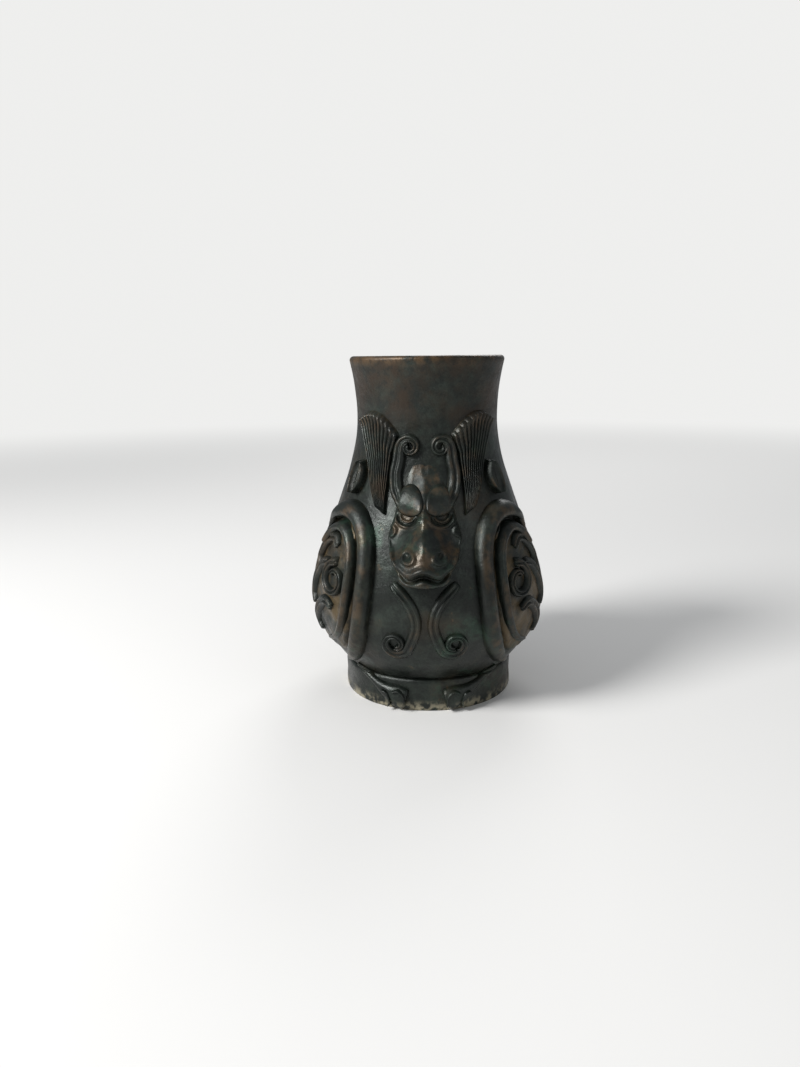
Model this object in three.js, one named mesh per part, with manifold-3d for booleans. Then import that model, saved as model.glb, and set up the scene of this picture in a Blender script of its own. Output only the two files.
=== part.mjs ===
// Cast bronze vase: a pear-shaped body on a ring foot, with two winged beasts back to back.
// Millimetres, +Z up. The origin is at the middle of the foot's underside, and a beast faces -Y.
import * as THREE from 'three';
import { mergeVertices } from 'three/addons/utils/BufferGeometryUtils.js';
import Module from 'manifold-3d';

const wasm = await Module();
wasm.setup();

// Driving dimensions
const HEIGHT = 150;
const LIP_RADIUS = 33.8;
const LIP_ROUND = 1.8;
const LIP_FLARE = 0.22;
const NECK_RADIUS = 30.9;
const NECK_LEVEL = 124;
const BELLY_RADIUS = 50.4;
const BELLY_LEVEL = 45;
const WALL = 3;
const FOOT_RADIUS = 38.2;
const FOOT_HEIGHT = 14.2;
const FOOT_WALL = 3.8;
const FOOT_DRAFT = 1.2;
const UNDERCUT = 0.95;
const LEDGE_LEVEL = 8;
const LEDGE_DEPTH = 2.2;
const LEDGE_REACH = 3.4;
const PLATE_THICKNESS = 2;
const SPIGOT_WALL = 2.6;
const FIT = 0.3;
const SEAT = 0.3;
const WALL_SIDES = 36;
const DEG = Math.PI / 180;

// Relief sizes
const MASK = { bottom: 59.5, top: 111, base: 1.6, rows: 18, columns: 12 };
const HORN = { width: 1.6, rise: 3.2, bossWidth: 5.4, bossHeight: 6.4, bossRise: 6.2 };
const MANE = { lines: 9, base: 1.1, ridge: 1.1, rows: 6, arch: 6 };
const EAR = { rise: 3.2, edge: 1.1 };
const RIM = { width: 3.7, rise: 5.2, tail: 1.7 };
const SCROLL = { base: 1.6, tube: 2.9, hook: 1.9 };
const CHEST = { width: 1.9, rise: 1.7, turn: 5.6, heart: 1.8 };
const PAW = { rise: 3.4, top: 12.6, bottom: 0.6, front: 12, rear: 42 };

const bronze = {
  wall: { color: 0x24271f, roughness: 0.42, metalness: 0.85 },
  foot: { color: 0x2b2b20, roughness: 0.48, metalness: 0.8 },
  relief: { color: 0x2c3026, roughness: 0.4, metalness: 0.85 },
  worn: { color: 0x3a3626, roughness: 0.36, metalness: 0.9 },
};

function hermite(a, b, slopeA, slopeB, t, span) {
  const s = t * t * (3 - 2 * t);
  return a + (b - a) * s + span * (slopeA * t * (1 - t) ** 2 - slopeB * t * t * (1 - t));
}

// Outer radius of the plain body at a level
function bodyRadius(z) {
  const joint = FOOT_RADIUS - FOOT_DRAFT;
  const lipLevel = HEIGHT - LIP_ROUND;
  if (z < BELLY_LEVEL) {
    const span = BELLY_LEVEL - FOOT_HEIGHT;
    const t = Math.max(0, (z - FOOT_HEIGHT) / span);
    return hermite(joint, BELLY_RADIUS, UNDERCUT, 0, t, span);
  }
  if (z < NECK_LEVEL) {
    const span = NECK_LEVEL - BELLY_LEVEL;
    return hermite(BELLY_RADIUS, NECK_RADIUS, 0, 0, (z - BELLY_LEVEL) / span, span);
  }
  const span = lipLevel - NECK_LEVEL;
  const t = Math.min(1, (z - NECK_LEVEL) / span);
  return hermite(NECK_RADIUS, LIP_RADIUS, 0, LIP_FLARE, t, span);
}

// Radius that relief is laid on, which also covers the foot
const groundRadius = (z) => (z < FOOT_HEIGHT ? FOOT_RADIUS : bodyRadius(z));
const perDegree = (z) => groundRadius(z) * DEG;

// A chart point is an angle from the front in degrees, to the viewer's right, and a level
function onBody(phi, z, lift) {
  const r = groundRadius(z) + lift;
  return new THREE.Vector3(r * Math.sin(phi * DEG), -r * Math.cos(phi * DEG), z);
}

const smooth = (a, b, x) => {
  const t = Math.min(1, Math.max(0, (x - a) / (b - a)));
  return t * t * (3 - 2 * t);
};
const bell = (x) => Math.exp(-x * x);
const mix = (a, b, t) => a + (b - a) * t;

// Value at a level from a few level and value pairs, smoothed between them
function along(pairs, z) {
  if (z <= pairs[0][0]) return pairs[0][1];
  for (let i = 1; i < pairs.length; i += 1) {
    const [z0, v0] = pairs[i - 1];
    const [z1, v1] = pairs[i];
    if (z <= z1) return mix(v0, v1, smooth(z0, z1, z));
  }
  return pairs[pairs.length - 1][1];
}

function fromFaces(points, faces) {
  const geometry = new THREE.BufferGeometry();
  geometry.setAttribute('position', new THREE.Float32BufferAttribute(points.flatMap((p) => [p.x, p.y, p.z]), 3));
  let volume = 0;
  for (const [a, b, c] of faces) {
    volume += points[a].dot(new THREE.Vector3().crossVectors(points[b], points[c]));
  }
  geometry.setIndex(volume > 0 ? faces.flat() : faces.flatMap(([a, b, c]) => [a, c, b]));
  return geometry;
}

// Raised patch on the body: a fine outer skin, a coarser underside and side walls. Both counts are even.
function patch(columns, rows, chart, rise, base = SEAT) {
  const points = [];
  const faces = [];
  const wide = columns + 1;
  const level = wide * (rows + 1);
  for (const outer of [true, false]) {
    for (let j = 0; j <= rows; j += 1) {
      for (let i = 0; i <= columns; i += 1) {
        const [phi, z] = chart(i / columns, j / rows);
        points.push(onBody(phi, z, outer ? SEAT + rise(i / columns, j / rows, phi, z) : base));
      }
    }
  }
  const top = (i, j) => j * wide + i;
  const under = (i, j) => level + j * wide + i;
  for (let j = 0; j < rows; j += 1) {
    for (let i = 0; i < columns; i += 1) {
      faces.push([top(i, j), top(i + 1, j), top(i + 1, j + 1)], [top(i, j), top(i + 1, j + 1), top(i, j + 1)]);
    }
  }
  for (let j = 0; j < rows; j += 2) {
    for (let i = 0; i < columns; i += 2) {
      const loop = [[i, j]];
      if (j === 0) loop.push([i + 1, j]);
      loop.push([i + 2, j]);
      if (i + 2 === columns) loop.push([i + 2, j + 1]);
      loop.push([i + 2, j + 2]);
      if (j + 2 === rows) loop.push([i + 1, j + 2]);
      loop.push([i, j + 2]);
      if (i === 0) loop.push([i, j + 1]);
      const ring = loop.map(([a, b]) => under(a, b));
      if (ring.length === 4) {
        faces.push([ring[0], ring[2], ring[1]], [ring[0], ring[3], ring[2]]);
      } else {
        ring.forEach((a, n) => faces.push([under(i + 1, j + 1), ring[(n + 1) % ring.length], a]));
      }
    }
  }
  const side = (a, b, c, d) => faces.push([a, b, c], [a, c, d]);
  for (let i = 0; i < columns; i += 1) {
    side(top(i, 0), under(i, 0), under(i + 1, 0), top(i + 1, 0));
    side(top(i + 1, rows), under(i + 1, rows), under(i, rows), top(i, rows));
  }
  for (let j = 0; j < rows; j += 1) {
    side(top(0, j + 1), under(0, j + 1), under(0, j), top(0, j));
    side(top(columns, j), under(columns, j), under(columns, j + 1), top(columns, j + 1));
  }
  // The underside's unused grid points go when the mesh is indexed again
  return mergeVertices(compact(fromFaces(points, faces)));
}

function compact(geometry) {
  const loose = geometry.toNonIndexed();
  geometry.dispose();
  return loose;
}

// D-shaped band laid along a chart path. Width is half the band's breadth.
function band(path, steps, width, rise) {
  const curve = new THREE.CatmullRomCurve3(path.map(([phi, z]) => new THREE.Vector3(phi, z, 0)), false, 'centripetal');
  const section = [[-1, 0], [-0.8, 0.6], [-0.35, 0.94], [0.35, 0.94], [0.8, 0.6], [1, 0]];
  const count = section.length + 1;
  const points = [];
  const faces = [];
  for (let i = 0; i <= steps; i += 1) {
    const t = i / steps;
    const at = curve.getPoint(t);
    const dir = curve.getTangent(t);
    const k = perDegree(at.y);
    const long = Math.hypot(dir.x * k, dir.y);
    const across = [-dir.y / long / k, (dir.x * k) / long];
    for (const [s, h] of [...section, [0, 0]]) {
      const w = s * width(t);
      points.push(onBody(at.x + across[0] * w, at.y + across[1] * w, SEAT + h * rise(t)));
    }
  }
  for (let i = 0; i < steps; i += 1) {
    for (let j = 0; j < count; j += 1) {
      const a = i * count + j;
      const b = i * count + ((j + 1) % count);
      faces.push([a, b, b + count], [a, b + count, a + count]);
    }
  }
  const last = steps * count;
  for (let j = 1; j < count - 1; j += 1) {
    faces.push([0, j + 1, j], [last, last + j, last + j + 1]);
  }
  return fromFaces(points, faces);
}

// Smooth drop-shaped boss round a chart point
function dome(centre, wide, tall, rise) {
  const rings = 3;
  const sides = 10;
  const points = [onBody(centre[0], centre[1], SEAT + rise), onBody(centre[0], centre[1], SEAT)];
  const faces = [];
  const k = perDegree(centre[1]);
  for (let j = 1; j <= rings; j += 1) {
    const out = Math.sin((j / rings) * 90 * DEG);
    const up = Math.cos((j / rings) * 90 * DEG);
    for (let i = 0; i < sides; i += 1) {
      const a = (i / sides) * 360 * DEG;
      const phi = centre[0] + (out * wide * Math.cos(a)) / k;
      points.push(onBody(phi, centre[1] + out * tall * Math.sin(a), SEAT + rise * up));
    }
  }
  const ring = (j, i) => 2 + (j - 1) * sides + (i % sides);
  for (let i = 0; i < sides; i += 1) {
    faces.push([0, ring(1, i), ring(1, i + 1)], [1, ring(rings, i + 1), ring(rings, i)]);
    for (let j = 1; j < rings; j += 1) {
      faces.push([ring(j, i), ring(j + 1, i), ring(j + 1, i + 1)], [ring(j, i), ring(j + 1, i + 1), ring(j, i + 1)]);
    }
  }
  return fromFaces(points, faces);
}

function solidOf(geometry) {
  const bare = geometry.clone();
  bare.deleteAttribute('normal');
  bare.deleteAttribute('uv');
  const merged = mergeVertices(bare);
  return new wasm.Manifold(new wasm.Mesh({
    numProp: 3,
    vertProperties: new Float32Array(merged.attributes.position.array),
    triVerts: new Uint32Array(merged.index.array),
  }));
}

function geometryOf(solid) {
  const mesh = solid.getMesh();
  const geometry = new THREE.BufferGeometry();
  geometry.setAttribute('position', new THREE.BufferAttribute(Float32Array.from(mesh.vertProperties), 3));
  geometry.setIndex(Array.from(mesh.triVerts));
  return geometry;
}

// Points of a spiral in the chart, its radius in millimetres and its angle in degrees
function spiral(centre, from, to, start, end, count) {
  const k = perDegree(centre[1]);
  return Array.from({ length: count }, (_, n) => {
    const t = n / (count - 1);
    const r = mix(from, to, t);
    const a = mix(start, end, t) * DEG;
    return [centre[0] + (r * Math.cos(a)) / k, centre[1] + r * Math.sin(a)];
  });
}

function lathe(profile) {
  const points = [...profile, profile[0]].map(([r, z]) => new THREE.Vector2(r, z));
  const geometry = new THREE.LatheGeometry(points, WALL_SIDES);
  geometry.rotateX(Math.PI / 2);
  geometry.deleteAttribute('normal');
  geometry.deleteAttribute('uv');
  return mergeVertices(geometry, 1e-4);
}

// Carcass
function vesselWall() {
  const levels = (from, to, steps) => Array.from({ length: steps + 1 }, (_, n) => mix(from, to, n / steps));
  const lipLevel = HEIGHT - LIP_ROUND;
  const spigot = FOOT_RADIUS - FOOT_WALL - FIT;
  const spigotEnd = LEDGE_LEVEL + LEDGE_DEPTH + PLATE_THICKNESS + SEAT;
  const outer = levels(FOOT_HEIGHT, lipLevel, 17).map((z) => [bodyRadius(z), z]);
  const lip = [0.25, 0.5, 0.75, 1].map((t) => {
    const a = t * 180 * DEG;
    return [LIP_RADIUS - LIP_ROUND + LIP_ROUND * Math.cos(a), lipLevel + LIP_ROUND * Math.sin(a)];
  });
  const inner = levels(lipLevel, FOOT_HEIGHT + WALL, 9).slice(1).map((z) => [bodyRadius(z) - WALL, z]);
  return lathe([[spigot, spigotEnd], [spigot, FOOT_HEIGHT], ...outer, ...lip, ...inner,
    [spigot - SPIGOT_WALL, spigotEnd]]);
}

function footRing() {
  const inside = FOOT_RADIUS - FOOT_WALL;
  const ledge = LEDGE_LEVEL + LEDGE_DEPTH;
  const edge = 0.6;
  return lathe([[inside, 0], [FOOT_RADIUS - edge, 0], [FOOT_RADIUS, edge], [FOOT_RADIUS, FOOT_HEIGHT - FOOT_DRAFT],
    [FOOT_RADIUS - FOOT_DRAFT, FOOT_HEIGHT], [inside, FOOT_HEIGHT], [inside, ledge],
    [inside - LEDGE_REACH, ledge], [inside - LEDGE_REACH, ledge - 1], [inside, LEDGE_LEVEL - 1]]);
}

function basePlate() {
  const bottom = LEDGE_LEVEL + LEDGE_DEPTH;
  const r = FOOT_RADIUS - FOOT_WALL - FIT;
  const geometry = new THREE.CylinderGeometry(r, r, PLATE_THICKNESS, WALL_SIDES);
  geometry.rotateX(Math.PI / 2);
  geometry.translate(0, 0, bottom + PLATE_THICKNESS / 2);
  return geometry;
}

// Face
const maskHalf = (z) => along([[59.5, 7], [64, 13], [70, 18.5], [78, 21.5], [88, 20], [98, 14], [111, 7]], z);

function maskRise(phi, z, v) {
  const k = perDegree(z);
  const x = Math.abs(phi);
  const snout = along([[59.5, 9.5], [63, 12.5], [71, 15], [77, 12.5], [84, 7], [92, 4], [100, 2], [111, 0.3]], z);
  const breadth = along([[59.5, 12], [70, 14], [77, 9], [86, 5.5], [98, 4]], z);
  const cheekLevel = along([[0, 68.5], [6, 66.7], [11, 68.6], [16, 72.5], [20, 77]], x);
  const cheek = 1.3 * bell((z - cheekLevel) / 2) * smooth(22, 19, x);
  const eye = 1.5 * bell(Math.hypot((x - 9.4) * k, (z - 84) * 1.6) / 3.4);
  const nostril = 1.4 * bell(Math.hypot((x - 6.8) * k, z - 73) / 1.9);
  const lipNotch = -1.2 * bell(x / 1.6) * bell((z - 66) / 2.2);
  const edge = smooth(0, 0.22, 1 - Math.abs(2 * v - 1));
  return 0.5 + edge * (MASK.base + cheek + eye + nostril) + snout * bell(phi / breadth) * mix(0.45, 1, edge) + lipNotch;
}

function mask(grow = 0) {
  const half = (z) => maskHalf(z) + grow / perDegree(z);
  const chart = (u, v) => {
    const z = mix(MASK.bottom - grow, MASK.top + grow, v);
    return [mix(-half(z), half(z), u), z];
  };
  const base = grow > 0 ? -WALL / 2 : SEAT;
  return patch(MASK.columns, MASK.rows, chart, (u, v, phi, z) => grow + maskRise(phi, z, u), base);
}

function horn(side, cutter) {
  const curl = spiral([11.4 * side, 113.4], 1.3, 4, side > 0 ? 430 : -250, side > 0 ? 0 : 180, 9);
  const path = [...curl, [18.6 * side, 107.5], [18.4 * side, 101.5], [16.6 * side, 95.5], [12 * side, 91.5]];
  const strap = solidOf(band(path, 20, (t) => HORN.width * mix(0.75, 1.4, smooth(0.35, 0.75, t)),
    (t) => HORN.rise * mix(0.75, 1.2, t)));
  const boss = solidOf(dome([8.9 * side, 93], HORN.bossWidth, HORN.bossHeight, HORN.bossRise + 2));
  return geometryOf(strap.add(boss).subtract(cutter));
}

// Comb of lines over the neck
function mane(side) {
  const front = [[25, 86.5], [25.4, 94], [25.2, 103], [24.8, 110], [21.4, 118.6]];
  const rear = [[29, 88.5], [37.5, 98], [43.5, 107], [53, 117], [62, 125]];
  const at = (line, t) => {
    const n = Math.min(line.length - 2, Math.floor(t * (line.length - 1)));
    const f = t * (line.length - 1) - n;
    return [mix(line[n][0], line[n + 1][0], f), mix(line[n][1], line[n + 1][1], f)];
  };
  const columns = MANE.lines * 2 + 2;
  const chart = (u, v) => {
    const [a, b] = [at(front, v), at(rear, v)];
    return [side * mix(a[0], b[0], u), mix(a[1], b[1], u) + MANE.arch * Math.sin(u * Math.PI) * v * v];
  };
  return patch(columns, MANE.rows, chart, (u) => {
    const ridge = Math.round(u * columns) % 2 === 0 ? 0 : 1;
    return MANE.base + MANE.ridge * ridge;
  });
}

function ear(side) {
  const chart = (u, v) => {
    const z = mix(92.5, 107, v);
    const half = 0.7 + 6.6 * Math.sin(Math.PI * (0.08 + 0.84 * v)) ** 1.1;
    return [side * (51 + 2.5 * (1 - v) + mix(-half, half, u)), z];
  };
  return patch(6, 8, chart, (u, v) => {
    const rolled = EAR.edge * bell((Math.abs(2 * u - 1) - 0.72) / 0.22);
    return 0.8 + EAR.rise * Math.sin(Math.PI * mix(0.1, 0.9, v)) * Math.sin(Math.PI * mix(0.12, 0.88, u)) + rolled;
  });
}

// Wing
const RIM_PATH = [[73, 75.5], [67, 82], [58, 86], [48, 86.5], [39.5, 83.5], [33.4, 77], [30.6, 68], [30.2, 56],
  [31.4, 44], [35, 33], [42, 25], [52, 19.5], [62, 16.5]];

function wingRim(side) {
  const path = RIM_PATH.map(([phi, z]) => [phi * side, z]);
  return band(path, 26, (t) => RIM.width * mix(0.75, 1, smooth(0, 0.2, t)) * mix(1, 0.5, smooth(0.75, 1, t)),
    (t) => mix(RIM.rise, RIM.tail, smooth(0.75, 1, t)) * mix(0.7, 1, smooth(0, 0.15, t)));
}

function wingScroll(side) {
  const inner = (z) => along([[24, 52], [30, 45], [38, 39.5], [48, 36.3], [62, 35.7], [70, 37.4], [76, 41], [81, 49]], z);
  const outer = (z) => along([[24, 84], [50, 86], [62, 79], [70, 68], [76, 61.5], [81, 55]], z);
  const chart = (u, v) => {
    const z = mix(24, 81, v);
    return [side * mix(inner(z), outer(z), u), z];
  };
  return patch(12, 14, chart, (u, v, phi, z) => {
    const x = Math.abs(phi);
    const k = perDegree(z);
    const loop = Math.abs(Math.hypot((x - 52) * k, (z - 58) * 0.62) - 11);
    const eye = Math.abs(Math.hypot((x - 47) * k, z - 57) - 4.2);
    const hooks = Math.sin((x * 0.35 + z * 0.28)) * smooth(60, 66, x);
    const edge = smooth(0, 0.14, 1 - Math.abs(2 * u - 1)) * smooth(0, 0.1, 1 - Math.abs(2 * v - 1));
    return 0.5 + edge * (SCROLL.base + SCROLL.tube * bell(loop / 2.2) + SCROLL.hook * (bell(eye / 1.3) + 0.5 * hooks + 0.3));
  });
}

function chestScroll(side) {
  const start = side > 0 ? 200 : -20;
  const end = side > 0 ? 650 : -470;
  const curl = spiral([14.2 * side, 34], CHEST.turn, CHEST.heart, start, end, 13);
  const path = [[16.5 * side, 60], [9.5 * side, 54.5], [5 * side, 48], [4.2 * side, 41], ...curl];
  return band(path, 22, (t) => CHEST.width * mix(1, 0.6, smooth(0.3, 0.6, t)), () => CHEST.rise);
}

function paw(side) {
  const chart = (u, v) => {
    const phi = mix(PAW.front, PAW.rear, u);
    const round = Math.sin(Math.PI * Math.min(0.5, u * 1.4 + 0.12));
    return [side * phi, mix(PAW.bottom, mix(PAW.bottom + 2, PAW.top, round), v)];
  };
  return patch(8, 4, chart, (u, v) => {
    const toes = 0.5 + 0.5 * Math.abs(Math.cos(u * Math.PI * 1.7));
    return 0.6 + PAW.rise * Math.sin(Math.PI * mix(0.15, 0.85, v)) * mix(1, 0.35, u) * toes;
  });
}

const vase = new THREE.Group();

function addPiece(name, geometry, material, turned = false) {
  geometry.deleteAttribute('normal');
  geometry.deleteAttribute('uv');
  const piece = new THREE.Mesh(mergeVertices(geometry), new THREE.MeshStandardMaterial(material));
  piece.name = name;
  piece.rotation.z = turned ? Math.PI : 0;
  vase.add(piece);
}

addPiece('vessel_wall', vesselWall(), bronze.wall);
addPiece('foot_ring', footRing(), bronze.foot);
addPiece('base_plate', basePlate(), bronze.foot);
const faceCutter = solidOf(mask(SEAT));
for (const [end, turned] of [['front', false], ['back', true]]) {
  addPiece(`${end}_mask`, mask(), bronze.relief, turned);
  for (const [hand, side] of [['left', -1], ['right', 1]]) {
    const name = (piece) => `${end}_${hand}_${piece}`;
    addPiece(name('horn'), horn(side, faceCutter), bronze.worn, turned);
    addPiece(name('mane'), mane(side), bronze.relief, turned);
    addPiece(name('ear'), ear(side), bronze.relief, turned);
    addPiece(name('wing_rim'), wingRim(side), bronze.worn, turned);
    addPiece(name('wing_scroll'), wingScroll(side), bronze.relief, turned);
    addPiece(name('chest_scroll'), chestScroll(side), bronze.relief, turned);
    addPiece(name('paw'), paw(side), bronze.foot, turned);
  }
}

export default vase;
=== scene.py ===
"""Cast bronze vase with two winged beasts back to back, with its patina, on a pale studio floor."""
import math

import bmesh
import bpy
from bpy.props import FloatProperty, FloatVectorProperty, IntProperty, PointerProperty
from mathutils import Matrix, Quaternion, Vector, noise


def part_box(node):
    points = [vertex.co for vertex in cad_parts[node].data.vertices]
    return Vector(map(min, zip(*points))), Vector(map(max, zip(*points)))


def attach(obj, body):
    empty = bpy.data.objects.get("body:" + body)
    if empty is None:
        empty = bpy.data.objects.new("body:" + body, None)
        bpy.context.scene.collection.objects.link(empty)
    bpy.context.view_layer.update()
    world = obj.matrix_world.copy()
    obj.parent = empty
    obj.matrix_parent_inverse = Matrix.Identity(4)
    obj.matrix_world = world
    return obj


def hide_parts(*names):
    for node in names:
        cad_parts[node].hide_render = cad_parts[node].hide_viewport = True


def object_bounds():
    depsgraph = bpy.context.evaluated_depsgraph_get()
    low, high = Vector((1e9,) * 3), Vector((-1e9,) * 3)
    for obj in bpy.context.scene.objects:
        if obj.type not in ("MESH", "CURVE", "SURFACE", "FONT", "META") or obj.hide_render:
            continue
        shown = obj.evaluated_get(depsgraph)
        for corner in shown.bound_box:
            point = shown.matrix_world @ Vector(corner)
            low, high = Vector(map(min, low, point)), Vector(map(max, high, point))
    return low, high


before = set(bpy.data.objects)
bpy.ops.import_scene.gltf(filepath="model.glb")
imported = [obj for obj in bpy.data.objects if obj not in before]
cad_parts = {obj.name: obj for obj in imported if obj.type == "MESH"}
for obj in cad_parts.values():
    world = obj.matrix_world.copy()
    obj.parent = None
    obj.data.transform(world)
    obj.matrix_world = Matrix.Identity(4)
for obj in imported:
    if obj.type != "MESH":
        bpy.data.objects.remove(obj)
CAD_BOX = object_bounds()

bl_info = {
    "name": "Winged Beast Vase",
    "version": (1, 0, 0),
    "blender": (4, 5, 0),
    "location": "View3D > Sidebar > Vase",
    "description": "Models a cast bronze vase with relief beasts and an old patina",
    "category": "Add Mesh",
}

# The chart is in millimetres and degrees, as a modeller measures the vase, and Blender's space in metres
MM = 0.001
HEIGHT = CAD_BOX[1][2] / MM
FOOT_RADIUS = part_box("foot_ring")[1][0] / MM
FOOT_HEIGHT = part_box("foot_ring")[1][2] / MM
BELLY_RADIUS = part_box("vessel_wall")[1][0] / MM
BELLY_LEVEL = 45.0
NECK_RADIUS = 30.9
NECK_LEVEL = 124.0
LIP_RADIUS = 33.8
LIP_ROUND = 1.8
LIP_FLARE = 0.22
UNDERCUT = 0.95
FOOT_DRAFT = 1.2
WALL = 3.0
SUNK = -0.6
CASTING_WAVE = 0.16
SKIN = 0.5

ENDS = (("front", 1), ("back", -1))
HANDS = (("left", -1), ("right", 1))


class VaseSizes(bpy.types.PropertyGroup):
    mask_detail: IntProperty(name="Mask detail", description="Grid cells across a face", default=120, min=20)
    wing_detail: IntProperty(name="Wing detail", description="Grid cells along a wing", default=110, min=20)
    comb_lines: IntProperty(name="Comb lines", description="Raised lines in a mane", default=11, min=4)
    horn_width: FloatProperty(name="Horn width", description="Half the breadth of a horn's band, in millimetres",
                              default=1.5, min=0.5)
    rim_width: FloatProperty(name="Wing rim width", description="Half the breadth of the wing's outer tube, in "
                             "millimetres", default=3.8, min=1.0)


class VaseColours(bpy.types.PropertyGroup):
    dark: FloatVectorProperty(name="Dark bronze", description="Green-black skin of the metal", subtype="COLOR",
                              default=(0.013, 0.018, 0.014), size=3, min=0, max=1)
    # Besides the worn patina, this brown also paints the highlight on the lit top of the lip
    brown: FloatVectorProperty(name="Brown patina", description="Worn brown of ridges and lip", subtype="COLOR",
                               default=(0.060, 0.036, 0.017), size=3, min=0, max=1)
    green: FloatVectorProperty(name="Green patina", description="Pale malachite patches", subtype="COLOR",
                               default=(0.028, 0.062, 0.040), size=3, min=0, max=1)
    gold: FloatVectorProperty(name="Hollow gold", description="Ochre dust in the wing hollows", subtype="COLOR",
                              default=(0.095, 0.062, 0.024), size=3, min=0, max=1)
    pale: FloatVectorProperty(name="Pale deposit", description="Lime at the foot's edge", subtype="COLOR",
                              default=(0.30, 0.27, 0.19), size=3, min=0, max=1)


def mix(a, b, t):
    return a + (b - a) * t


def smooth(a, b, x):
    t = min(1.0, max(0.0, (x - a) / (b - a)))
    return t * t * (3 - 2 * t)


def bell(x):
    return math.exp(-min(x * x, 40.0))


def along(pairs, x):
    """Value at x from a few pairs, smoothed between them."""
    if x <= pairs[0][0]:
        return pairs[0][1]
    for (x0, v0), (x1, v1) in zip(pairs, pairs[1:]):
        if x <= x1:
            return mix(v0, v1, smooth(x0, x1, x))
    return pairs[-1][1]


def hermite(a, b, slope_a, slope_b, t, span):
    s = t * t * (3 - 2 * t)
    return a + (b - a) * s + span * (slope_a * t * (1 - t) ** 2 - slope_b * t * t * (1 - t))


def body_radius(z):
    lip_level = HEIGHT - LIP_ROUND
    if z < BELLY_LEVEL:
        span = BELLY_LEVEL - FOOT_HEIGHT
        t = max(0.0, (z - FOOT_HEIGHT) / span)
        return hermite(FOOT_RADIUS - FOOT_DRAFT, BELLY_RADIUS, UNDERCUT, 0, t, span)
    if z < NECK_LEVEL:
        span = NECK_LEVEL - BELLY_LEVEL
        return hermite(BELLY_RADIUS, NECK_RADIUS, 0, 0, (z - BELLY_LEVEL) / span, span)
    span = lip_level - NECK_LEVEL
    t = min(1.0, (z - NECK_LEVEL) / span)
    return hermite(NECK_RADIUS, LIP_RADIUS, 0, LIP_FLARE, t, span)


def ground_radius(z):
    return FOOT_RADIUS if z < FOOT_HEIGHT else body_radius(z)


def per_degree(z):
    return math.radians(ground_radius(z))


def on_body(phi, z, lift, turn=1):
    """Chart point in metres: an angle from the beast's front, a level and a height over the plain body."""
    r = ground_radius(z) + lift
    a = math.radians(phi)
    return Vector((turn * r * math.sin(a) * MM, -turn * r * math.cos(a) * MM, z * MM))


def wave(co, size, seed=0.0):
    """Slow unevenness of the casting, from -1 to 1."""
    return noise.noise(Vector((co.x / size + seed, co.y / size, co.z / size)))


def finish_mesh(bm, name, node, material):
    bmesh.ops.recalc_face_normals(bm, faces=bm.faces)
    mesh = bpy.data.meshes.new(name)
    bm.to_mesh(mesh)
    bm.free()
    for face in mesh.polygons:
        face.use_smooth = True
    mesh.materials.append(material)
    piece = bpy.data.objects.new(name, mesh)
    bpy.context.scene.collection.objects.link(piece)
    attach(piece, "root")
    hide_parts(node)
    return piece


def add_sheet(bm, columns, rows, shape, turn):
    """Grid laid on the body by shape(u, v), which gives angle, level, height and hollow. It is closed below."""
    tone = bm.verts.layers.float.get("hollow") or bm.verts.layers.float.new("hollow")
    low = bmesh.ops.create_grid(bm, x_segments=columns, y_segments=rows, size=0.5)["verts"]
    faces = list({face for v in low for face in v.link_faces})
    raised = bmesh.ops.extrude_face_region(bm, geom=faces, use_keep_orig=True)["geom"]
    high = [part for part in raised if isinstance(part, bmesh.types.BMVert)]
    for verts, top in ((low, False), (high, True)):
        for v in verts:
            phi, z, lift, hollow = shape(v.co.x + 0.5, v.co.y + 0.5)
            uneven = CASTING_WAVE * 0.6 * wave(Vector((phi, z, 0)), 9.0, 3.0)
            v.co = on_body(phi, z, lift + uneven if top else SUNK - SKIN, turn)
            v[tone] = hollow


def curve_points(points, count):
    """Smooth line through chart points, as count + 1 points with their directions."""
    out = []
    last = len(points) - 1
    for n in range(count + 1):
        t = n / count * last
        i = min(last - 1, int(t))
        f = t - i
        p = [points[max(0, i - 1)], points[i], points[i + 1], points[min(last, i + 2)]]
        at = []
        way = []
        for c in (0, 1):
            a, b, d, e = (q[c] for q in p)
            at.append(0.5 * (2 * b + (d - a) * f + (2 * a - 5 * b + 4 * d - e) * f * f
                             + (3 * b - a - 3 * d + e) * f ** 3))
            way.append(0.5 * ((d - a) + 2 * (2 * a - 5 * b + 4 * d - e) * f + 3 * (3 * b - a - 3 * d + e) * f * f))
        out.append((at, way))
    return out


def add_band(bm, path, width, rise, turn, over=None, double=False, steps=90, across=14):
    """Raised band along a path. width and rise are functions of 0 to 1; over is what it lies on."""
    line = curve_points(path, steps)

    def shape(u, v):
        (phi, z), way = line[round(u * steps)]
        k = per_degree(z)
        long = math.hypot(way[0] * k, way[1]) or 1.0
        s = 2 * v - 1
        cap = min(1.0, math.sqrt(max(0.0, 1 - (1 - min(u, 1 - u) / 0.035) ** 2)) if min(u, 1 - u) < 0.035 else 1.0)
        w = s * width(u) * mix(0.35, 1.0, cap)
        at_phi = phi - way[1] / long * w / k
        at_z = z + way[0] * k / long * w
        crown = math.sqrt(max(0.0, 1 - s * s)) ** 0.8
        if double:
            crown *= 1 - 0.3 * bell(s / 0.25)
        base = over(at_phi, at_z) if over else 0.0
        lift = base + SUNK + (rise(u) - SUNK) * crown * cap
        return at_phi, at_z, lift, 1 - crown * cap

    add_sheet(bm, steps, across, shape, turn)


def spiral(centre, start_r, end_r, start, end, count):
    k = per_degree(centre[1])
    out = []
    for n in range(count):
        t = n / (count - 1)
        r = mix(start_r, end_r, t)
        a = math.radians(mix(start, end, t))
        out.append((centre[0] + r * math.cos(a) / k, centre[1] + r * math.sin(a)))
    return out


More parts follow.
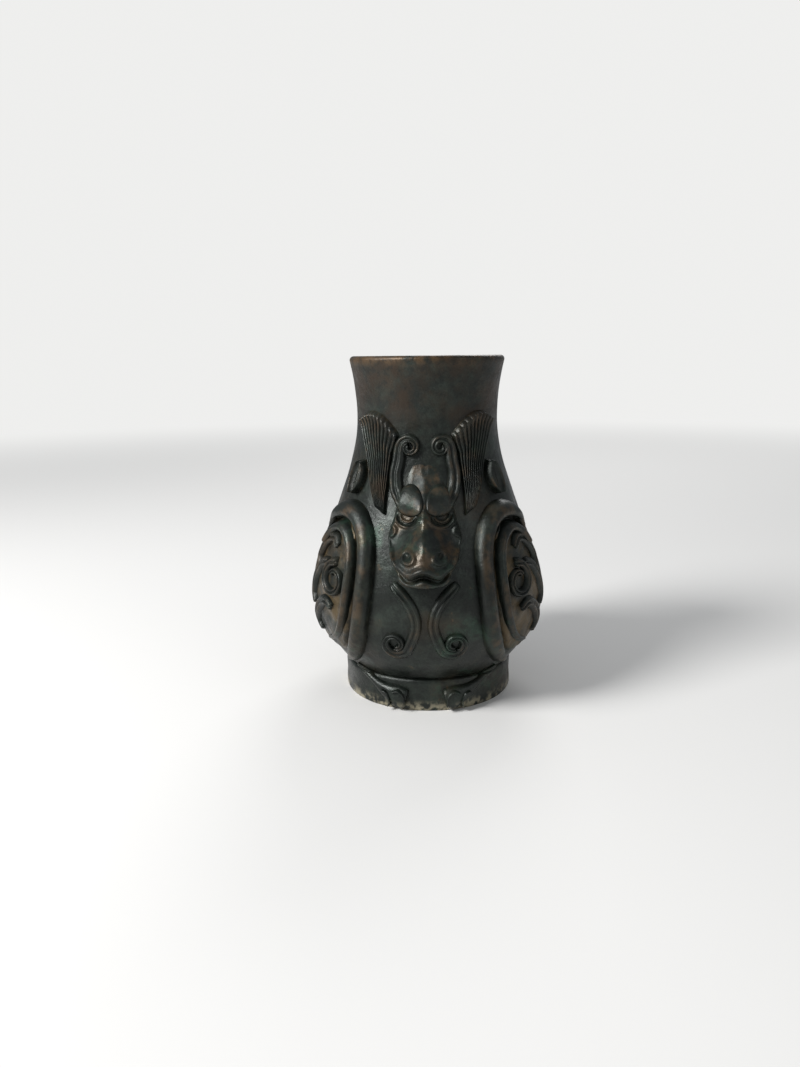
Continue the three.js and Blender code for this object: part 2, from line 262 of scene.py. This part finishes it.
# Face
SNOUT = ((58, 9.0), (60, 11.0), (63, 13.0), (71, 14.1), (77, 12.0), (84, 7.0), (92, 3.6), (100, 1.2), (111, 0.2))
BREADTH = ((58, 11.5), (70, 14), (77, 9), (86, 5.5), (98, 4))
FACE_HALF = ((58, 4), (60, 8), (64, 13.5), (70, 18.5), (78, 21.5), (88, 20), (98, 16), (106, 14), (112, 10))
CHEEK = ((0, 69.2), (6, 66.9), (11, 68.8), (16, 72.8), (20, 77.5))
FACE_BOTTOM, FACE_TOP = 58.6, 112.0


def face_lift(phi, z):
    """Height of the face over the body inside its outline, and how hollow it is there."""
    k = per_degree(z)
    x = abs(phi)
    lift = 1.5 * mix(0.25, 1, smooth(108, 92, z)) + along(SNOUT, z) * bell(phi / along(BREADTH, z))
    ridge = 1.5 * bell(x * k / 2.3) * smooth(71, 76, z) * smooth(97, 88, z)
    cheek_gap = abs(z - along(CHEEK, x))
    cheek = 2.2 * bell(cheek_gap / 1.5) * smooth(22.5, 19, x)
    cheek_groove = -1.2 * bell((z - along(CHEEK, x) + 3.4) / 1.0) * smooth(21, 17, x)
    curl = math.hypot((x - 18.2) * k, z - 80.5)
    cheek_curl = 1.1 * bell((curl - 1.9) / 0.7)
    e = math.hypot((x - 9.6) * k, (z - 87.2) * 1.05)
    upper = smooth(88.0, 85.5, z)
    eye = (1.5 * bell((e - 5.0) / 0.62) + 1.1 * bell((e - 3.1) / 0.5)) * upper
    socket = -0.9 * bell((e - 4.0) / 0.5) * upper
    n = math.hypot((x - 6.6) * k, z - 73)
    nostril = 1.5 * bell((n - 2.1) / 0.75) - 1.3 * bell(n / 0.95)
    lip = -1.5 * bell((z - along(((0, 65.6), (6, 63.6), (14, 68)), x)) / 0.8) * smooth(16, 12, x)
    brow = -0.6 * bell(x * k / 1.2) * smooth(100, 104, z) * smooth(111, 106, z)
    total = lift + ridge + cheek + cheek_groove + cheek_curl + eye + socket + nostril + lip + brow
    hollow = min(1.0, max(0.0, -1.2 * (cheek_groove + socket + lip) + 0.8 * bell(n / 1.2)))
    return total, hollow


def face_over(phi, z):
    """What a horn lies on: the face where there is one, and the plain body beside it."""
    half = along(FACE_HALF, z)
    inside = smooth(half + 0.5, half - 3.0, abs(phi)) * smooth(FACE_TOP, FACE_TOP - 5, z)
    return face_lift(phi, z)[0] * inside


class VASE_OT_mask(bpy.types.Operator):
    """Model the two faces, from the forehead to the overhanging beak"""
    bl_idname = "vase.mask"
    bl_label = "Masks"

    def execute(self, context):
        cells = context.scene.vase_sizes.mask_detail

        def shape(u, v):
            z = mix(FACE_BOTTOM, FACE_TOP, v ** 0.9)
            half = along(FACE_HALF, z)
            side = 2 * u - 1
            phi = half * side
            edge = smooth(0, mix(0.2, 0.5, smooth(80, 100, z)), 1 - abs(side))
            ends = smooth(0, 0.05, v) ** 0.5 * smooth(0, 0.25, 1 - v)
            lift, hollow = face_lift(phi, z)
            return phi, z, mix(SUNK, lift, edge * ends), max(hollow, 1 - edge)

        for end, turn in ENDS:
            bm = bmesh.new()
            add_sheet(bm, cells, int(cells * 1.3), shape, turn)
            finish_mesh(bm, f"{end}_face", f"{end}_mask", bronze("relief"))
        return {"FINISHED"}


BOSS_ANGLE = 8.9
BOSS_LEVEL = 92.6
BOSS_WIDTH = 5.5
BOSS_TALL = 6.4
BOSS_RISE = 4.4


class VASE_OT_horns(bpy.types.Operator):
    """Model the horns: spiral curl, band and smooth drop-shaped boss"""
    bl_idname = "vase.horns"
    bl_label = "Horns"

    def execute(self, context):
        width = context.scene.vase_sizes.horn_width
        for end, turn in ENDS:
            for hand, side in HANDS:
                bm = bmesh.new()
                curl = spiral((11.4 * side, 113.4), 1.0, 4.0, 430 if side > 0 else -250, 0 if side > 0 else 180, 12)
                path = curl + [(19.2 * side, 108), (20.2 * side, 102.5), (18.2 * side, 96), (13 * side, 91.8),
                               (9.5 * side, 92.4)]
                add_band(bm, path, lambda t: width * mix(1.05, 1.9, smooth(0.35, 0.8, t)),
                         lambda t: mix(2.2, 3.0, t), turn, over=face_over, double=True, across=20)

                self.boss(bm, side, turn)
                finish_mesh(bm, f"{end}_{hand}_horn_cast", f"{end}_{hand}_horn", bronze("worn"))
        return {"FINISHED"}

    def boss(self, bm, side, turn):
        """Drop-shaped boss, flattened under and rounded on top."""
        tone = bm.verts.layers.float["hollow"]
        made = bmesh.ops.create_uvsphere(bm, u_segments=48, v_segments=32, radius=1.0)
        across = BOSS_WIDTH / per_degree(BOSS_LEVEL)
        for v in made["verts"]:
            x, y, up = v.co
            phi = BOSS_ANGLE * side + across * x * (1 - 0.12 * y)
            z = BOSS_LEVEL + BOSS_TALL * y
            lift = face_over(phi, z) * (1 if up > 0 else 0.7) + SUNK + (BOSS_RISE * up if up > 0 else 0.5 * up)
            v.co = on_body(phi, z, lift, turn)
            v[tone] = max(0.0, 1 - 2 * up)


MANE_FRONT = ((24, 85), (24.8, 94), (24.4, 103), (23.4, 110), (18.6, 118.4))
MANE_REAR = ((29.5, 87.5), (38, 97.5), (44, 107), (53.5, 117), (62, 124.5))
MANE_ARCH = 6.5


def line_at(line, t):
    n = min(len(line) - 2, int(t * (len(line) - 1)))
    f = t * (len(line) - 1) - n
    return mix(line[n][0], line[n + 1][0], f), mix(line[n][1], line[n + 1][1], f)


class VASE_OT_manes(bpy.types.Operator):
    """Model the combed manes on the neck"""
    bl_idname = "vase.manes"
    bl_label = "Manes"

    def execute(self, context):
        lines = context.scene.vase_sizes.comb_lines
        for end, turn in ENDS:
            for hand, side in HANDS:
                def shape(u, v, side=side):
                    a, b = line_at(MANE_FRONT, v), line_at(MANE_REAR, v)
                    phi = mix(a[0], b[0], u)
                    z = mix(a[1], b[1], u) + MANE_ARCH * math.sin(u * math.pi) * v * v
                    comb = abs(math.sin(math.pi * lines * u)) ** 0.7
                    edge = smooth(0, 0.05, min(u, 1 - u)) * smooth(0, 0.06, v) * smooth(0, 0.05, 1 - v)
                    top = 1.0 * bell((v - 0.95) / 0.03)
                    tall = mix(1.0, 1.5, v) + 1.15 * comb * smooth(1, 0.9, v) + top
                    return side * phi, z, mix(SUNK, tall, edge), 1 - comb * edge

                bm = bmesh.new()
                add_sheet(bm, lines * 10, 44, shape, turn)
                finish_mesh(bm, f"{end}_{hand}_mane_comb", f"{end}_{hand}_mane", bronze("relief"))
        return {"FINISHED"}


class VASE_OT_ears(bpy.types.Operator):
    """Model the leaf-shaped ears with their rolled edges"""
    bl_idname = "vase.ears"
    bl_label = "Ears"

    def execute(self, context):
        for end, turn in ENDS:
            for hand, side in HANDS:
                def shape(u, v, side=side):
                    z = mix(92.4, 107.4, v)
                    half = 0.3 + 7.2 * math.sin(math.pi * (0.04 + 0.9 * v)) ** 0.9
                    s = 2 * u - 1
                    phi = 51 + 2.8 * (1 - v) ** 2 + half * s
                    edge = smooth(0, 0.2, 1 - abs(s)) * smooth(0, 0.08, v) * smooth(0, 0.08, 1 - v)
                    dish = 3.1 - 1.5 * bell(s / 0.5) + 0.9 * bell((abs(s) - 0.7) / 0.14)
                    vein = 0.7 * bell(s / 0.13) + 0.5 * bell((s + 0.36) / 0.08)
                    return side * phi, z, mix(SUNK, dish + vein, edge), max(1 - edge, 0.8 * bell(s / 0.5))

                bm = bmesh.new()
                add_sheet(bm, 44, 44, shape, turn)
                finish_mesh(bm, f"{end}_{hand}_ear_leaf", f"{end}_{hand}_ear", bronze("relief"))
        return {"FINISHED"}


# Wing
RIM_PATH = ((73, 75.5), (67, 82), (58, 86), (48, 86.5), (39.5, 83.5), (33.4, 77), (30.6, 68), (30.2, 56),
            (31.4, 44), (35, 33), (42, 25), (52, 19.5), (62, 16.5))
LOOP_PATH = ((68, 70), (63, 76), (55, 79.3), (47.5, 78), (42, 73), (39.4, 65), (39.2, 55), (41, 44.5), (46, 36),
             (54, 30.5), (64, 27.5))
HOOKS = (((51, 71), (57, 74.5), (65, 72), (70, 65), (67, 60)), ((57, 64), (64, 62), (71, 55), (73, 47), (69, 43)),
         ((50, 45), (57, 47), (65, 42), (70, 35), (66, 31)))
REAR_EDGE = ((64, 85), (68, 78), (73, 67), (79, 55), (82, 42), (80, 30))
WING_FRONT = ((22, 52), (30, 43), (38, 37.5), (48, 34.5), (62, 34), (70, 35.6), (76, 38.5), (83, 47))
WING_REAR = ((22, 84), (50, 86.5), (62, 81), (70, 74), (78, 66), (83, 58))


class VASE_OT_wings(bpy.types.Operator):
    """Model the wings: outer rim, inner loop, eye scroll and hooks"""
    bl_idname = "vase.wings"
    bl_label = "Wings"

    def execute(self, context):
        sizes = context.scene.vase_sizes
        for end, turn in ENDS:
            for hand, side in HANDS:
                self.rim(end, turn, hand, side, sizes.rim_width)
                self.scroll(end, turn, hand, side, sizes.wing_detail)
        return {"FINISHED"}

    def rim(self, end, turn, hand, side, width):
        bm = bmesh.new()
        path = [(phi * side, z) for phi, z in RIM_PATH]
        add_band(bm, path, lambda t: width * mix(0.35, 1, smooth(0, 0.2, t)) * mix(1, 0.3, smooth(0.75, 1, t)),
                 lambda t: mix(5.2, 1.3, smooth(0.7, 1, t)) * mix(0.4, 1, smooth(0, 0.15, t)), turn,
                 steps=120, across=22)
        finish_mesh(bm, f"{end}_{hand}_wing_tube", f"{end}_{hand}_wing_rim", bronze("worn"))

    def scroll(self, end, turn, hand, side, cells):
        def field(u, v):
            z = mix(22, 83, v)
            phi = mix(along(WING_FRONT, z), along(WING_REAR, z), u)
            edge = smooth(0, 0.08, min(u, 1 - u)) * smooth(0, 0.07, min(v, 1 - v))
            pit = -0.9 * bell(math.hypot((phi - 48) * per_degree(z), z - 57) / 3.0)
            return side * phi, z, mix(SUNK, 1.6 + 0.6 * wave(Vector((phi, z, side)), 5.0) + pit, edge), 1.0

        bm = bmesh.new()
        add_sheet(bm, int(cells * 0.7), cells, field, turn)
        sided = lambda path: [(phi * side, z) for phi, z in path]
        add_band(bm, sided(LOOP_PATH), lambda t: mix(2.5, 1.4, smooth(0.6, 1, t)),
                 lambda t: mix(4.6, 2.6, smooth(0.6, 1, t)), turn, steps=110, across=16)
        eye = spiral((50 * side, 57.5), 7.6, 3.0, 100 if side > 0 else 80, -330 if side > 0 else 510, 14)
        add_band(bm, eye, lambda t: mix(2.3, 1.5, t), lambda t: mix(4.4, 3.6, t), turn, double=True, across=20)
        for hook in HOOKS:
            add_band(bm, sided(hook), lambda t: 3.0 * math.sin(math.pi * mix(0.16, 0.92, t)) ** 0.7,
                     lambda t: 3.9, turn, double=True, steps=50, across=20)
        add_band(bm, sided(REAR_EDGE), lambda t: 1.3, lambda t: 3.2 * mix(1, 0.6, t), turn, steps=60, across=10)
        finish_mesh(bm, f"{end}_{hand}_wing_carving", f"{end}_{hand}_wing_scroll", bronze("wing"))


class VASE_OT_chest(bpy.types.Operator):
    """Model the pairs of double-lined chest scrolls"""
    bl_idname = "vase.chest"
    bl_label = "Chest scrolls"

    def execute(self, context):
        for end, turn in ENDS:
            for hand, side in HANDS:
                curl = spiral((14.2 * side, 34), 5.6, 1.7, 200 if side > 0 else -20, 650 if side > 0 else -470, 20)
                path = [(16.5 * side, 60), (9.5 * side, 54.5), (5 * side, 48), (4.2 * side, 41)] + curl
                bm = bmesh.new()
                add_band(bm, path, lambda t: mix(2.5, 1.5, smooth(0.3, 0.6, t)), lambda t: 2.3, turn, double=True,
                         steps=150, across=20)
                finish_mesh(bm, f"{end}_{hand}_chest_band", f"{end}_{hand}_chest_scroll", bronze("relief"))
        return {"FINISHED"}


PAW_CLAWS = (((21, 8.4), (17, 9.4), (13.4, 7.2), (13.0, 2.6)), ((28, 8.6), (24.5, 8.0), (22.6, 4.6), (23.4, 1.8)))


class VASE_OT_paws(bpy.types.Operator):
    """Model the paws in relief on the foot"""
    bl_idname = "vase.paws"
    bl_label = "Paws"

    def execute(self, context):
        for end, turn in ENDS:
            for hand, side in HANDS:
                bm = bmesh.new()
                leg = [(50 * side, 16.2), (42 * side, 13.6), (34 * side, 10.8), (26 * side, 8.0), (18 * side, 6.0),
                       (12.5 * side, 4.8)]
                add_band(bm, leg, lambda t: mix(1.6, 5.2, smooth(0.3, 0.85, t)) * mix(1, 0.8, smooth(0.9, 1, t)),
                         lambda t: mix(1.8, 3.3, smooth(0.2, 0.9, t)), turn, steps=90, across=24)
                for claw in PAW_CLAWS:
                    line = [(phi * side, z) for phi, z in claw]
                    add_band(bm, line, lambda t: 0.9 * mix(1, 0.5, t), lambda t: 3.9, turn, steps=24, across=10)
                finish_mesh(bm, f"{end}_{hand}_paw_cast", f"{end}_{hand}_paw", bronze("foot"))
        return {"FINISHED"}


def revolve(profile, name, node, material, steps=240):
    """Closed ring from a profile of radius and level in millimetres."""
    bm = bmesh.new()
    verts = [bm.verts.new((r * MM, 0, z * MM)) for r, z in profile]
    edges = [bm.edges.new((a, b)) for a, b in zip(verts, verts[1:] + verts[:1])]
    bmesh.ops.spin(bm, geom=verts + edges, axis=(0, 0, 1), cent=(0, 0, 0), angle=2 * math.pi, steps=steps,
                   use_merge=True)
    bmesh.ops.remove_doubles(bm, verts=bm.verts, dist=1e-7)
    for v in bm.verts:
        out = Vector((v.co.x, v.co.y, 0))
        if out.length > 0 and v.co.z > 1e-5:
            v.co += out.normalized() * CASTING_WAVE * MM * wave(v.co / MM, 11.0)
    return finish_mesh(bm, name, node, material)


class VASE_OT_body(bpy.types.Operator):
    """Model the belly, neck and rounded lip"""
    bl_idname = "vase.body"
    bl_label = "Body"

    def execute(self, context):
        lip_level = HEIGHT - LIP_ROUND
        spigot = FOOT_RADIUS - 4.1
        end = 12.5
        outer = [(body_radius(z), z) for z in (mix(FOOT_HEIGHT, lip_level, n / 80) for n in range(81))]
        lip = [(LIP_RADIUS - LIP_ROUND + LIP_ROUND * math.cos(a), lip_level + LIP_ROUND * math.sin(a))
               for a in (math.pi * n / 12 for n in range(1, 12))]
        inner = [(body_radius(z) - WALL, z) for z in (mix(lip_level, FOOT_HEIGHT + WALL, n / 40) for n in range(41))]
        revolve([(spigot, end), (spigot, FOOT_HEIGHT)] + outer + lip + inner + [(spigot - 2.6, end)],
                "vessel_body", "vessel_wall", bronze("body"))
        return {"FINISHED"}


class VASE_OT_foot(bpy.types.Operator):
    """Model the foot ring and the plate let into it"""
    bl_idname = "vase.foot"
    bl_label = "Foot"

    def execute(self, context):
        inside = FOOT_RADIUS - 3.8
        ledge = 10.2
        reach = 3.4
        skirt = [(FOOT_RADIUS - 0.1 + 0.1 * math.sin(n), mix(0.6, FOOT_HEIGHT - 1.3, n / 9)) for n in range(10)]
        revolve([(inside, 0), (FOOT_RADIUS - 0.7, 0), (FOOT_RADIUS - 0.2, 0.15)] + skirt
                + [(FOOT_RADIUS - 0.5, FOOT_HEIGHT - 0.5), (FOOT_RADIUS - FOOT_DRAFT, FOOT_HEIGHT),
                   (inside, FOOT_HEIGHT), (inside, ledge), (inside - reach, ledge), (inside - reach, ledge - 1),
                   (inside, 7)], "foot_band", "foot_ring", bronze("foot"))
        plate = inside - 0.3
        rings = [(plate * n / 12, ledge + 2.0) for n in range(12, 0, -1)]
        under = [(plate * n / 12, ledge) for n in range(1, 13)]
        revolve([(0, ledge)] + under + rings + [(0, ledge + 2.0)], "base_disc", "base_plate", bronze("foot"))
        return {"FINISHED"}


# Patina
def bronze(kind):
    """Old bronze. kind sets how much hollow dust, brown wear and foot deposit it shows."""
    found = bpy.data.materials.get(f"bronze_{kind}")
    if found:
        return found
    colours = bpy.context.scene.vase_colours
    material = bpy.data.materials.new(f"bronze_{kind}")
    material.use_nodes = True
    tree = material.node_tree
    nodes, links = tree.nodes, tree.links
    shader = nodes["Principled BSDF"]
    coord = nodes.new("ShaderNodeTexCoord").outputs["Object"]
    level = nodes.new("ShaderNodeSeparateXYZ")
    links.new(coord, level.inputs[0])

    def cloud(scale, detail=6.0, rough=0.6):
        node = nodes.new("ShaderNodeTexNoise")
        node.inputs["Scale"].default_value = scale
        node.inputs["Detail"].default_value = detail
        node.inputs["Roughness"].default_value = rough
        links.new(coord, node.inputs["Vector"])
        return node.outputs["Fac"]

    def ramp(source, low, high, to_low=0.0, to_high=1.0):
        node = nodes.new("ShaderNodeMapRange")
        node.interpolation_type = "SMOOTHSTEP"
        for socket, value in zip(("From Min", "From Max", "To Min", "To Max"), (low, high, to_low, to_high)):
            node.inputs[socket].default_value = value
        links.new(source, node.inputs["Value"])
        return node.outputs["Result"]

    def times(a, b):
        node = nodes.new("ShaderNodeMath")
        node.operation = "MULTIPLY"
        links.new(a, node.inputs[0])
        if isinstance(b, float):
            node.inputs[1].default_value = b
        else:
            links.new(b, node.inputs[1])
        return node.outputs[0]

    def over(base, colour, amount):
        node = nodes.new("ShaderNodeMix")
        node.data_type = "RGBA"
        links.new(amount, node.inputs["Factor"])
        if isinstance(base, tuple):
            node.inputs["A"].default_value = base
        else:
            links.new(base, node.inputs["A"])
        node.inputs["B"].default_value = colour
        return node.outputs["Result"]

    rgba = lambda c, gain=1.0: (c[0] * gain, c[1] * gain, c[2] * gain, 1.0)
    tint = over(rgba(colours.dark, 0.6), rgba(colours.dark, 1.9), ramp(cloud(75, 10, 0.75), 0.42, 0.66))
    tint = over(tint, rgba(colours.brown, 0.55), times(ramp(cloud(38, 8), 0.5, 0.72), 0.75))
    tint = over(tint, rgba(colours.green), times(ramp(cloud(24, 9, 0.7), 0.56, 0.68), 0.75))
    tint = over(tint, rgba(colours.brown, 1.7), times(ramp(cloud(150, 5), 0.66, 0.74), 0.6))
    neck = ramp(level.outputs["Z"], 0.112, 0.135)
    tint = over(tint, rgba(colours.brown, 0.42), times(neck, ramp(cloud(45, 8), 0.42, 0.62)))
    # Brighter brown on the lip: partly worn patina, partly a painted highlight where light falls on the rim top
    lip = ramp(level.outputs["Z"], 0.1445, 0.149)
    tint = over(tint, rgba(colours.brown, 1.5), times(lip, ramp(cloud(120), 0.42, 0.6)))
    if kind != "body" and kind != "foot":
        hollow = nodes.new("ShaderNodeAttribute")
        hollow.attribute_name = "hollow"
        dust = {"wing": 0.8, "relief": 0.25, "worn": 0.15}[kind]
        deep = ramp(hollow.outputs["Fac"], 0.45, 1.0)
        tint = over(tint, rgba(colours.gold), times(times(deep, ramp(cloud(70), 0.38, 0.6)), dust))
        crest = ramp(hollow.outputs["Fac"], 0.3, 0.0)
        tint = over(tint, rgba(colours.brown, 1.5), times(times(crest, ramp(cloud(110), 0.45, 0.62)), 0.5))
    edge = ramp(level.outputs["Z"], 0.0055, 0.0005)
    tint = over(tint, rgba(colours.pale), times(edge, ramp(cloud(260), 0.42, 0.58)))
    tint = over(tint, rgba(colours.pale, 0.35), times(ramp(cloud(330, 6, 0.7), 0.66, 0.76), 0.5))
    tint = over(tint, rgba(colours.dark, 0.35), times(ramp(cloud(210, 8, 0.7), 0.52, 0.62), 0.6))
    links.new(tint, shader.inputs["Base Color"])
    shader.inputs["Metallic"].default_value = 0.38
    links.new(ramp(cloud(85, 7), 0.3, 0.75, 0.28, 0.55), shader.inputs["Roughness"])
    pits = nodes.new("ShaderNodeBump")
    pits.inputs["Strength"].default_value = 0.5
    pits.inputs["Distance"].default_value = 0.0004
    links.new(cloud(520, 8, 0.7), pits.inputs["Height"])
    dents = nodes.new("ShaderNodeBump")
    dents.inputs["Strength"].default_value = 0.4
    dents.inputs["Distance"].default_value = 0.0012
    links.new(cloud(95, 4), dents.inputs["Height"])
    links.new(pits.outputs["Normal"], dents.inputs["Normal"])
    links.new(dents.outputs["Normal"], shader.inputs["Normal"])
    return material


# Stage
EYE_LEVEL = 0.150
EYE_DISTANCE = 0.3597
EYE_AZIMUTH = math.radians(3.5)
EYE_SIDE = -0.0126
EYE_ROLL = math.radians(-0.66)
EYE_PITCH = math.radians(12.5)
LENS = 27.06
BACKDROP = (0.86, 0.86, 0.85, 1)


class VASE_OT_stage(bpy.types.Operator):
    """Add the pale floor, the soft lights and the camera"""
    bl_idname = "vase.stage"
    bl_label = "Stage"

    def execute(self, context):
        scene = context.scene
        self.floor(scene)
        self.world(scene)
        self.lamp(scene, "key", (-0.8, -0.5, 0.75), 0.45, 16.0)
        self.lamp(scene, "fill", (0.9, -0.6, 0.5), 0.7, 1.2)
        self.lamp(scene, "back", (0.2, 0.9, 0.8), 0.6, 4.0)
        self.camera(scene)
        scene.view_settings.view_transform = "Standard"
        return {"FINISHED"}

    def floor(self, scene):
        bm = bmesh.new()
        bmesh.ops.create_grid(bm, x_segments=1, y_segments=1, size=3.0)
        mesh = bpy.data.meshes.new("floor")
        bm.to_mesh(mesh)
        bm.free()
        material = bpy.data.materials.new("pale_floor")
        material.use_nodes = True
        material.node_tree.nodes["Principled BSDF"].inputs["Base Color"].default_value = (0.8, 0.79, 0.77, 1)
        material.node_tree.nodes["Principled BSDF"].inputs["Roughness"].default_value = 0.9
        self.fade(material.node_tree)
        mesh.materials.append(material)
        floor = bpy.data.objects.new("floor", mesh)
        scene.collection.objects.link(floor)

    def fade(self, tree):
        """Far from the vase the floor turns into the backdrop's own pale grey."""
        nodes, links = tree.nodes, tree.links
        coord = nodes.new("ShaderNodeTexCoord")
        far = nodes.new("ShaderNodeVectorMath")
        far.operation = "LENGTH"
        links.new(coord.outputs["Object"], far.inputs[0])
        reach = nodes.new("ShaderNodeMapRange")
        reach.interpolation_type = "SMOOTHSTEP"
        reach.inputs["From Min"].default_value = 0.35
        reach.inputs["From Max"].default_value = 1.6
        links.new(far.outputs["Value"], reach.inputs["Value"])
        path = nodes.new("ShaderNodeLightPath")
        seen = nodes.new("ShaderNodeMath")
        seen.operation = "MULTIPLY"
        links.new(path.outputs["Is Camera Ray"], seen.inputs[0])
        links.new(reach.outputs["Result"], seen.inputs[1])
        pale = nodes.new("ShaderNodeEmission")
        pale.inputs["Color"].default_value = BACKDROP
        blend = nodes.new("ShaderNodeMixShader")
        links.new(seen.outputs[0], blend.inputs["Fac"])
        links.new(nodes["Principled BSDF"].outputs[0], blend.inputs[1])
        links.new(pale.outputs[0], blend.inputs[2])
        links.new(blend.outputs[0], nodes["Material Output"].inputs["Surface"])

    def world(self, scene):
        scene.world = scene.world or bpy.data.worlds.new("studio")
        scene.world.use_nodes = True
        tree = scene.world.node_tree
        tree.nodes.clear()
        out = tree.nodes.new("ShaderNodeOutputWorld")
        dome = tree.nodes.new("ShaderNodeBackground")
        dome.inputs["Color"].default_value = (0.86, 0.9, 0.95, 1)
        dome.inputs["Strength"].default_value = 0.3
        white = tree.nodes.new("ShaderNodeBackground")
        white.inputs["Color"].default_value = BACKDROP
        white.inputs["Strength"].default_value = 1.0
        path = tree.nodes.new("ShaderNodeLightPath")
        blend = tree.nodes.new("ShaderNodeMixShader")
        tree.links.new(path.outputs["Is Camera Ray"], blend.inputs["Fac"])
        tree.links.new(dome.outputs[0], blend.inputs[1])
        tree.links.new(white.outputs[0], blend.inputs[2])
        tree.links.new(blend.outputs[0], out.inputs["Surface"])

    def lamp(self, scene, name, place, size, power):
        data = bpy.data.lights.new(name, "AREA")
        data.shape = "DISK"
        data.size = size
        data.energy = power
        lamp = bpy.data.objects.new(name, data)
        lamp.location = place
        lamp.rotation_euler = (Vector((0, 0, 0.07)) - Vector(place)).to_track_quat("-Z", "Y").to_euler()
        scene.collection.objects.link(lamp)

    def camera(self, scene):
        data = bpy.data.cameras.new("camera")
        data.sensor_width = 36
        data.lens = LENS
        data.clip_start = 0.01
        heading = Vector((-math.sin(EYE_AZIMUTH), math.cos(EYE_AZIMUTH), 0))
        right = Vector((heading.y, -heading.x, 0))
        view = heading * math.cos(EYE_PITCH) + Vector((0, 0, -math.sin(EYE_PITCH)))
        camera = bpy.data.objects.new("camera", data)
        camera.location = right * EYE_SIDE - heading * EYE_DISTANCE + Vector((0, 0, EYE_LEVEL))
        roll = Quaternion((0, 0, 1), EYE_ROLL)
        camera.rotation_euler = (view.to_track_quat("-Z", "Y") @ roll).to_euler()
        scene.collection.objects.link(camera)
        scene.camera = camera


class VASE_PT_panel(bpy.types.Panel):
    """Lists the steps that model the vase"""
    bl_label = "Vase"
    bl_idname = "VASE_PT_panel"
    bl_space_type = "VIEW_3D"
    bl_region_type = "UI"
    bl_category = "Vase"

    def draw(self, context):
        for step in STEPS:
            self.layout.operator(step.bl_idname)
        for group in (context.scene.vase_sizes, context.scene.vase_colours):
            for name in group.__annotations__:
                self.layout.prop(group, name)


STEPS = (VASE_OT_body, VASE_OT_foot, VASE_OT_mask, VASE_OT_horns, VASE_OT_manes, VASE_OT_ears, VASE_OT_wings,
         VASE_OT_chest, VASE_OT_paws, VASE_OT_stage)
CLASSES = (VaseSizes, VaseColours) + STEPS + (VASE_PT_panel,)


def register():
    for item in CLASSES:
        bpy.utils.register_class(item)
    bpy.types.Scene.vase_sizes = PointerProperty(type=VaseSizes)
    bpy.types.Scene.vase_colours = PointerProperty(type=VaseColours)


def unregister():
    del bpy.types.Scene.vase_sizes
    del bpy.types.Scene.vase_colours
    for item in reversed(CLASSES):
        bpy.utils.unregister_class(item)


def main():
    register()
    for step in STEPS:
        group, name = step.bl_idname.split(".")
        getattr(getattr(bpy.ops, group), name)()


if __name__ == "__main__":
    main()
